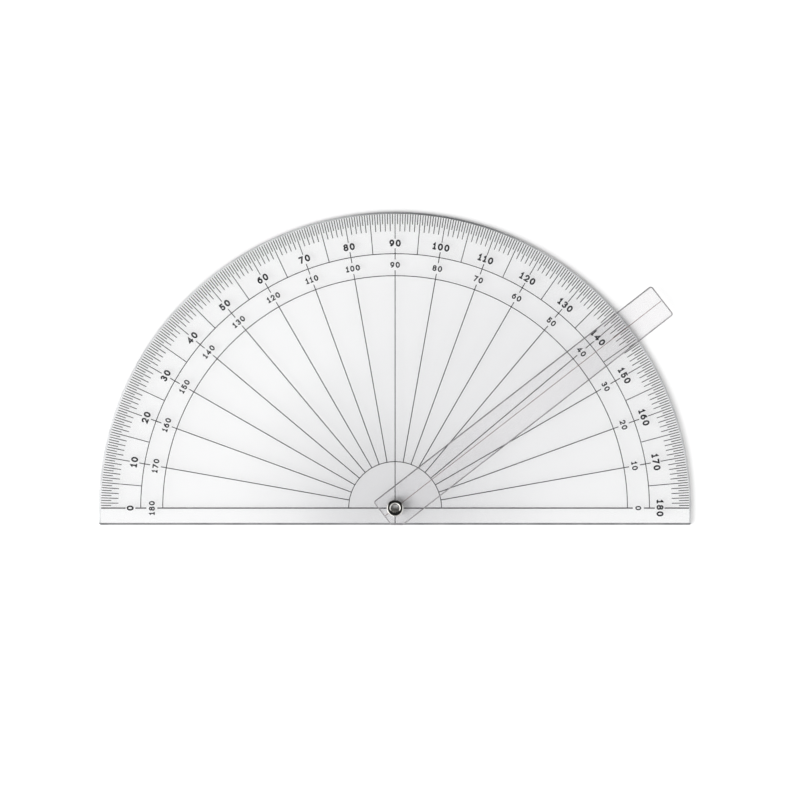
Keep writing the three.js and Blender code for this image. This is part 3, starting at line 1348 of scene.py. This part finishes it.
@dataclass
class ScalePlate:
    """Half-round plate with a strip below its base line, and the graduations on its upper face."""

    dial: Dial
    radius: float = 105.0
    strip: float = 6.0
    thick: float = 2.0
    upper_edge: float = 0.75
    lower_edge: float = 0.2
    corner_radius: float = 0.8
    hole_radius: float = 1.9
    recess_radius: float = 2.9
    recess_depth: float = 0.8
    rim_steps: int = 480
    corner_steps: int = 10
    finish: ClearPlastic = ClearPlastic(
        name="clear_acrylic_plate", clear=(0.985, 0.987, 0.991), marks=Hairlines(pitch=60.0),
        # Painted shade: the two patches grey the plate towards its upper right and, more strongly, round
        # the eyelet.
        patches=(
            RoundPatch(tone=(0.887, 0.887, 0.897), radii=(0.0, 86.0), spot=(40.0, 45.0)),
            RoundPatch(tone=(0.762, 0.762, 0.775), radii=(4.0, 62.0)),
        ),
        shine_through=0.945,
    )
    rim: MilledEdge = MilledEdge(
        name="turned_rim_painted_shade", pale=(0.63, 0.64, 0.65), grey=(0.51, 0.52, 0.53), clearness=0.2,
        # Painted shade: the rim is painted much darker at its top.
        smoked=RoundPatch(tone=(0.13, 0.135, 0.14), radii=(5.0, 53.0), spot=(17.5, 103.5)),
    )
    # Painted shade: a far darker copy of the rim's finish, for the straight edge.
    straight: MilledEdge = MilledEdge(
        name="painted_shade_straight_edge", pale=(0.19, 0.195, 0.20), grey=(0.13, 0.135, 0.14), clearness=0.1,
    )

    def outline(self) -> list[Flat]:
        """Draws the plate's outline.

        Returns:
            Its points, anticlockwise from the lower left corner.
        """
        inner = self.radius - self.corner_radius
        level = self.corner_radius - self.strip
        corner = (self.corner_radius, self.corner_radius)
        return [
            *arc((-inner, level), corner, 180, 270, self.corner_steps),
            *arc((inner, level), corner, -90, 0, self.corner_steps),
            *arc((0, 0), (self.radius, self.radius), 0, 180, self.rim_steps),
        ]

    def build(self, effects: SharedEffects) -> bpy.types.Object:
        """Builds the plate.

        Args:
            effects: The shared shader groups.

        Returns:
            The plate's object.
        """
        sheet = RoundedSheet(
            outline=self.outline(), bottom=0.0, top=self.thick, upper_edge=self.upper_edge,
            lower_edge=self.lower_edge, hole_radius=self.hole_radius,
            recess_radius=self.recess_radius, recess_depth=self.recess_depth,
        )
        made = sheet.build(
            "half_round_plate", self.dial, self.finish.material(effects), self.rim.material(effects),
        )
        made.data.materials.append(self.straight.material(effects))
        # The edge's faces along the bottom take the darker copy of the edge finish, painted shade.
        for face in made.data.polygons:
            above_edge = (face.center.y - self.dial.centre.y) / MM + self.strip
            if face.material_index == 1 and above_edge < self.upper_edge:
                face.material_index = 2
        return settle(made, Body.PLATE, "scale_plate")


@dataclass
class Graduations:
    """Black line fill of the plate: ticks, radial lines, rings, base line and numerals."""

    HALF_TURN = 180

    dial: Dial
    lines: RadialLineTree
    rings: HalfRingTree
    level: float = 2.003
    lift: float = 0.0005
    depth: float = 0.12
    tick_width: float = 0.28
    line_width: float = 0.31
    base_width: float = 0.42
    ring_width: float = 0.29
    ring_steps: int = 181
    tick_start: float = 104.2
    ticks_per_degree: int = 2
    half_degree: float = 3.55
    degree: float = 6.1
    ring_step: int = 5
    number_step: int = 10
    numbered: float = 8.7
    outer_ring: float = 90.15
    inner_ring: float = 82.35
    vertex_ring: float = 16.45
    overshoot: float = 1.9
    undershoot: float = 2.0
    eyelet_radius: float = 2.0
    strip_end: float = 5.35
    outer_numbers: float = 93.9
    inner_numbers: float = 86.2
    outer_height: float = 2.5
    inner_height: float = 2.1
    outer_numerals: DrawnNumerals = DrawnNumerals(pen=0.229)
    inner_numerals: DrawnNumerals = DrawnNumerals(pen=0.214)
    fill: LineFill = LineFill(
        name="black_line_fill", full=(0.012, 0.012, 0.014), thin=(0.045, 0.045, 0.05), patch=2.0,
    )

    def build(self) -> list[bpy.types.Object]:
        """Builds the line fill.

        Returns:
            The pieces of line fill.
        """
        ink = self.fill.material()
        made = [self.lines.lines(run, self.dial, self.depth, self.level, ink) for run in self._runs()]
        made += [self._half_rings(ink), self._numbers(ink)]
        return [settle(piece, Body.PLATE) for piece in made]

    def _runs(self) -> list[Run]:
        """Lists the runs of radial lines.

        Returns:
            The runs.
        """
        per, step = self.ticks_per_degree, self.number_step
        fan = {"first": step, "count": self.HALF_TURN // step - 1, "step": step}
        both_ends = {"count": 2, "step": self.HALF_TURN}
        crossing = self.overshoot + self.undershoot
        outer_end, inner_end = self.outer_ring + self.overshoot, self.inner_ring + self.overshoot
        line, base = self.line_width, self.base_width
        longer_ticks = {
            "Degree": (per, self.degree), "Ring": (self.ring_step * per, self.tick_start - self.outer_ring),
            "Numbered": (step * per, self.numbered),
        }
        return [
            Run("scale_ticks", self.tick_start, self.half_degree, self.tick_width,
                count=self.HALF_TURN * per + 1, step=1 / per, longer=longer_ticks),
            Run("ring_crossings", outer_end, crossing, line, **fan),
            Run("fan_lines", inner_end, inner_end - self.vertex_ring, line, **fan),
            Run("upright_line", self.vertex_ring, self.vertex_ring - self.eyelet_radius, line, first=90.0),
            Run("upright_tail", self.strip_end, self.strip_end - self.eyelet_radius, line, first=-90.0),
            Run("base_line", inner_end, inner_end - self.eyelet_radius, base, **both_ends),
            Run("base_line_crossings", outer_end, crossing, base, **both_ends),
            Run("base_line_ends", self.tick_start, self.numbered, base, **both_ends),
        ]

    def _half_rings(self, ink: bpy.types.Material) -> bpy.types.Object:
        """Builds the three half rings, lifted just clear of the lines that they cross.

        Args:
            ink: Their material.

        Returns:
            The rings' object.
        """
        return grow("half_rings", self.rings.tree, {
            "Steps": self.ring_steps, Ring.OUTER.value: self.outer_ring * MM,
            Ring.INNER.value: self.inner_ring * MM, Ring.VERTEX.value: self.vertex_ring * MM,
            "Width": self.ring_width * MM, "Depth": self.depth * MM,
            "Level": (self.level + self.lift) * MM, "Centre": self.dial.centre, "Fill": ink,
        })

    def _numbers(self, ink: bpy.types.Material) -> bpy.types.Object:
        """Builds both rows of numbers, which run in opposite directions.

        Args:
            ink: Their material.

        Returns:
            The numbers' object.
        """
        shape = bmesh.new()
        for degrees in range(0, self.HALF_TURN + 1, self.number_step):
            for value, numerals, radius, height in (
                (self.HALF_TURN - degrees, self.outer_numerals, self.outer_numbers, self.outer_height),
                (degrees, self.inner_numerals, self.inner_numbers, self.inner_height),
            ):
                self._number(shape, numerals, str(value), radius, degrees, height)
        bmesh.ops.recalc_face_normals(shape, faces=shape.faces[:])
        return finished_object("scale_numbers", shape, ink)

    def _number(
        self, shape: bmesh.types.BMesh, numerals: DrawnNumerals, text: str, radius: float,
        degrees: float, height: float,
    ) -> None:
        """Adds one number, upright as seen from the eyelet outwards.

        Args:
            shape: The mesh.
            numerals: How its numerals are drawn.
            text: The number.
            radius: Radius of its centre.
            degrees: Angle of its line.
            height: Height of its numerals.
        """
        spot = arc((0, 0), (radius, radius), degrees, degrees, 1)[0]
        pen_x = -numerals.width_of(text) / 2
        for digit in text:
            for order, stroke in enumerate(numerals.strokes(digit)):
                about = Stroke([(x + pen_x, y - 0.5) for x, y in stroke.points], stroke.closed)
                levels = (self.level - self.depth, self.level + self.lift * order)
                numerals.add_stroke(shape, about, height, self.dial, spot, degrees - 90, levels)
            pen_x += numerals.widths[int(digit)] + numerals.gap


@dataclass
class SwingArm:
    """Clear arm that turns over the plate, with its index line in the lower face."""

    dial: Dial
    lines: RadialLineTree
    plate_strip: float
    reach: float = 120.0
    heel: float = 4.8
    width: float = 13.0
    thick: float = 1.5
    level: float = 2.3
    upper_edge: float = 0.45
    lower_edge: float = 0.2
    corner_radius: float = 1.0
    hole_radius: float = 1.88
    corner_steps: int = 10
    line_width: float = 0.2
    line_depth: float = 0.14
    line_proud: float = 0.003
    line_margin: float = 0.5
    finish: ClearPlastic = ClearPlastic(
        # Painted shade and light: the arm is tinted grey away from the eyelet, a painted shadow of the
        # plate's rim on the paper under its tip, and the two patches paint it near white again round the
        # eyelet, painted light.
        name="clear_acrylic_arm", clear=(0.918, 0.909, 0.918), marks=Hairlines(pitch=45.0),
        patches=(
            RoundPatch(tone=(0.999, 0.992, 0.998), radii=(14.0, 44.0), spot=(40.0, 45.0)),
            RoundPatch(tone=(0.999, 0.995, 0.999), radii=(4.0, 62.0)),
        ),
        shine_through=0.995, ior=1.45,
    )
    edge: MilledEdge = MilledEdge(
        name="milled_arm_edge", pale=(0.27, 0.26, 0.27), grey=(0.17, 0.165, 0.17), light_in=0.5,
        clearness=0.3,
    )
    fill: LineFill = LineFill(
        name="red_brown_line_fill", full=(0.10, 0.05, 0.042), thin=(0.20, 0.12, 0.10), patch=3.0,
    )

    def outline(self) -> list[Flat]:
        """Draws the arm's outline at rest: the heel's lower corner ends flush with the plate.

        Returns:
            Its points, anticlockwise.
        """
        side = self.width / 2 - self.corner_radius
        tip = self.reach - self.corner_radius
        heel = self.corner_radius - self.heel
        corner = (self.corner_radius, self.corner_radius)
        points = [
            *arc((heel, -side), corner, 180, 270, self.corner_steps),
            *arc((tip, -side), corner, -90, 0, self.corner_steps),
            *arc((tip, side), corner, 0, 90, self.corner_steps),
            *arc((heel, side), corner, 90, 180, self.corner_steps),
        ]
        return self._trimmed(turned_about(points, self.dial.rest_degrees))

    def _trimmed(self, points: Sequence[Flat]) -> list[Flat]:
        """Cuts off what lies below the plate's straight edge.

        Args:
            points: A closed outline.

        Returns:
            The outline that is left.
        """
        kept = []
        for index, point in enumerate(points):
            following = points[(index + 1) % len(points)]
            above, next_above = point[1] + self.plate_strip, following[1] + self.plate_strip
            if above >= 0:
                kept.append(point)
            if above * next_above < 0:
                share = above / (above - next_above)
                kept.append(tuple(Vector(point).lerp(Vector(following), share)))
        return kept

    def build(self, effects: SharedEffects) -> list[bpy.types.Object]:
        """Builds the arm and its index line.

        Args:
            effects: The shared shader groups.

        Returns:
            The arm's pieces.
        """
        sheet = RoundedSheet(
            outline=self.outline(), bottom=self.level, top=self.level + self.thick,
            upper_edge=self.upper_edge, lower_edge=self.lower_edge, hole_radius=self.hole_radius,
        )
        arm = sheet.build(
            "index_arm", self.dial, self.finish.material(effects), self.edge.material(effects),
        )
        ink = self.fill.material()
        long_end = self._line("index_line", ink, 0.0, self.reach - self.line_margin)
        short_end = self._line("index_line_heel", ink, 180.0, self.heel - self.line_margin)
        return [
            settle(arm, Body.ARM, "swing_arm"),
            settle(long_end, Body.ARM),
            settle(short_end, Body.ARM),
        ]

    def _line(self, name: str, ink: bpy.types.Material, turn: float, end: float) -> bpy.types.Object:
        """Builds the index line on one side of the eyelet.

        Args:
            name: The piece's name.
            ink: Its material.
            turn: Angle from the arm's tip, in degrees.
            end: Radius that it starts at.

        Returns:
            The line's object.
        """
        heading = self.dial.rest_degrees + turn
        run = Run(name, end, end - self.hole_radius, self.line_width, first=heading)
        depth, level = self.line_depth + self.line_proud, self.level + self.line_depth
        return self.lines.lines(run, self.dial, depth, level, ink)


@dataclass
class EyeletJoint:
    """Hollow eyelet through both sheets, with the slip washer and the washer that it is clinched over."""

    dial: Dial
    barrel_radius: float = 1.8
    bore_radius: float = 1.3
    head_level: float = 3.85
    head_radius: float = 3.0
    head_height: float = 0.6
    head_edge: float = 0.12
    crest_radius: float = 2.3
    throat_depth: float = 0.9
    clinch_level: float = 0.5
    clinch_radius: float = 2.5
    clinch_height: float = 0.45
    clinch_edge: float = 0.1
    clinch_crest: float = 2.0
    clinch_throat: float = 0.6
    slip_radius: float = 2.9
    slip_level: float = 2.0
    slip_thick: float = 0.25
    back_radius: float = 2.7
    back_thick: float = 0.3
    washer_clearance: float = 0.1
    washer_edge: float = 0.04
    curl_steps: int = 14
    round_steps: int = 96
    metal: PolishedNickel = PolishedNickel(
        name="polished_nickel", bright=(0.80, 0.79, 0.76), dulled=(0.66, 0.645, 0.61),
    )
    nylon: SmoothNylon = SmoothNylon(
        name="undyed_nylon", colour=(0.88, 0.87, 0.83), shade=(0.80, 0.79, 0.75),
    )

    def profile(self) -> list[Flat]:
        """Draws the eyelet's section.

        Returns:
            Radius and level of each corner, closing on themselves.
        """
        head_top = self.head_level + self.head_height
        head_side = self.head_level + self.head_edge
        head_curl = (self.head_radius - self.crest_radius, head_top - head_side)
        throat_curl = (self.crest_radius - self.bore_radius, self.throat_depth)
        clinch_low = self.clinch_level - self.clinch_height
        clinch_side = self.clinch_level - self.clinch_edge
        clinch_curl = (self.clinch_radius - self.clinch_crest, clinch_side - clinch_low)
        mouth_curl = (self.clinch_crest - self.bore_radius, self.clinch_throat)
        return [
            (self.barrel_radius, self.clinch_level),
            (self.barrel_radius, self.head_level),
            (self.head_radius - self.head_edge, self.head_level),
            *arc((self.crest_radius, head_side), head_curl, 0, 90, self.curl_steps),
            *arc((self.crest_radius, head_top - self.throat_depth), throat_curl, 90, 180,
                 self.curl_steps)[1:],
            *arc((self.clinch_crest, clinch_low + self.clinch_throat), mouth_curl, 180, 270,
                 self.curl_steps),
            *arc((self.clinch_crest, clinch_side), clinch_curl, -90, 0, self.curl_steps)[1:],
            (self.clinch_radius - self.clinch_edge, self.clinch_level),
        ]

    def washer_profile(self, radius: float, level: float, thick: float) -> list[Flat]:
        """Draws a washer's section with its edges just broken.

        Args:
            radius: Outer radius.
            level: Level of its lower face.
            thick: Thickness.

        Returns:
            Radius and level of each corner.
        """
        inner = self.barrel_radius + self.washer_clearance
        edge = self.washer_edge
        return [
            (inner, level + edge), (inner + edge, level), (radius - edge, level),
            (radius, level + edge), (radius, level + thick - edge), (radius - edge, level + thick),
            (inner + edge, level + thick), (inner, level + thick - edge),
        ]

    def build(self, effects: SharedEffects) -> list[bpy.types.Object]:
        """Builds the eyelet and its washers.

        Args:
            effects: The shared shader groups.

        Returns:
            The joint's pieces.
        """
        nickel = self.metal.material(effects)
        nylon = self.nylon.material()
        slip_section = self.washer_profile(self.slip_radius, self.slip_level, self.slip_thick)
        back_section = self.washer_profile(self.back_radius, self.clinch_level, self.back_thick)
        made = []
        for name, section, material, slot, replaced in (
            ("hollow_eyelet", self.profile(), nickel, Slot.NICKEL, "pivot_eyelet"),
            ("nylon_slip_washer", slip_section, nylon, Slot.NYLON, "slip_washer"),
            ("clinch_washer", back_section, nickel, Slot.NICKEL, "back_washer"),
        ):
            piece = revolve(name, section, self.round_steps, self.dial, material)
            made.append(settle(piece, Body.PLATE, replaced))
        return made


# Studio


@dataclass(frozen=True)
class Lamp:
    """Round soft lamp, placed in millimetres about the eyelet."""

    name: str
    place: tuple[float, float, float]
    size: float
    power: float


@dataclass(frozen=True)
class Window:
    """Bright part of the sky round one heading."""

    heading: Flat
    glow: float


@dataclass
class Studio:
    """White paper, a soft sky, soft lamps from the left and the front, and the camera straight above."""

    dial: Dial
    frame_width: float = 284.0
    frame_shift: Flat = (1.74, 38.3)
    camera_height: float = 1200.0
    sensor: float = 36.0
    farthest: float = 100000.0
    paper_drop: float = 0.05
    paper_half: float = 3000.0
    lamps: tuple[Lamp, ...] = (
        Lamp("window_lamp", place=(-1557.0, -661.0, 2000.0), size=1900.0, power=49.4),
        Lamp("front_lamp", place=(-60.0, -720.0, 2000.0), size=500.0, power=12.8),
    )
    lamp_aim: Flat = (0.0, 30.0)
    wall: float = 0.018
    windows: tuple[Window, ...] = (
        Window(heading=(-0.89, -0.46), glow=1.6),
        Window(heading=(0.0, -1.0), glow=0.6),
        Window(heading=(0.89, -0.46), glow=0.95),
    )
    window_top: Flat = (0.81, 0.89)
    window_side: Flat = (0.35, 0.75)
    paper: WhitePaper = WhitePaper(name="white_paper", colour=(0.96, 0.96, 0.96), glow_share=0.12)

    def build(self) -> None:
        """Builds the paper, the sky, the lamps and the camera."""
        self._paper()
        self._sky()
        for lamp in self.lamps:
            self._hang(lamp)
        self._camera()
        bpy.context.scene.view_settings.view_transform = "Standard"

    def _paper(self) -> None:
        """Lays the paper just under the plate."""
        shape = bmesh.new()
        half = self.paper_half
        corners = [(-half, -half), (half, -half), (half, half), (-half, half)]
        shape.faces.new(loop_of(shape, (self.dial.place(corner, -self.paper_drop) for corner in corners)))
        finished_object("paper", shape, self.paper.material(self.dial.centre))

    def _sky(self) -> None:
        """Makes the sky: dark overhead, and bright lower down round each window's heading."""
        world = bpy.data.worlds.new("soft_studio")
        world.use_nodes = True
        world.node_tree.nodes.clear()
        wiring = Wiring(world.node_tree)
        direction = wiring.node("ShaderNodeTexCoord").outputs["Generated"]
        height = wiring.node("ShaderNodeSeparateXYZ", {0: direction}).outputs["Z"]
        below = wiring.ranged(height, *self.window_top, 1.0, 0.0)
        glow: Any = self.wall
        for window in self.windows:
            heading = (*window.heading, 0.0)
            towards = wiring.node(
                "ShaderNodeVectorMath", {0: direction, 1: heading}, operation="DOT_PRODUCT",
            )
            share = wiring.ranged(towards.outputs["Value"], *self.window_side, 0.0, window.glow)
            glow = wiring.math("MAXIMUM", glow, wiring.math("MULTIPLY", below, share))
        colour = wiring.node("ShaderNodeCombineXYZ", {"X": glow, "Y": glow, "Z": glow})
        sky = wiring.node("ShaderNodeBackground", {"Color": colour.outputs[0], "Strength": 1.0})
        wiring.node("ShaderNodeOutputWorld", {"Surface": sky.outputs[0]})
        bpy.context.scene.world = world

    def _hang(self, lamp: Lamp) -> None:
        """Hangs a lamp and turns it to the plate.

        Args:
            lamp: The lamp.
        """
        light = bpy.data.lights.new(lamp.name, "AREA")
        light.shape = "DISK"
        light.size = lamp.size * MM
        light.energy = lamp.power
        made = bpy.data.objects.new(lamp.name, light)
        made.location = self.dial.place(lamp.place[:2], lamp.place[2])
        aim = self.dial.place(self.lamp_aim, 0.0) - made.location
        made.rotation_euler = aim.to_track_quat("-Z", "Y").to_euler()
        made.visible_glossy = False
        bpy.context.scene.collection.objects.link(made)

    def _camera(self) -> None:
        """Hangs the camera straight above the middle of the photograph's frame."""
        camera = bpy.data.cameras.new("overhead_camera")
        camera.sensor_width = self.sensor
        camera.lens = self.sensor * self.camera_height / self.frame_width
        camera.clip_end = self.farthest * MM
        made = bpy.data.objects.new("overhead_camera", camera)
        made.location = self.dial.place(self.frame_shift, self.camera_height)
        bpy.context.scene.collection.objects.link(made)
        bpy.context.scene.camera = made


def main() -> None:
    """Builds the protractor and its studio in order."""
    logging.basicConfig(level=logging.INFO, format="%(name)s: %(message)s")
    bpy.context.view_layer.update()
    pivot = frame["joints"][0]["pos_m"]
    dial = Dial(centre=Vector((pivot[0], pivot[1], 0.0)), rest_degrees=37.9)
    effects = SharedEffects(dial.centre)
    lines, rings = RadialLineTree(), HalfRingTree()
    plate = ScalePlate(dial)
    plate.build(effects)
    Graduations(dial, lines, rings).build()
    SwingArm(dial, lines, plate.strip).build(effects)
    EyeletJoint(dial).build(effects)
    Studio(dial).build()


if __name__ == "__main__":
    main()
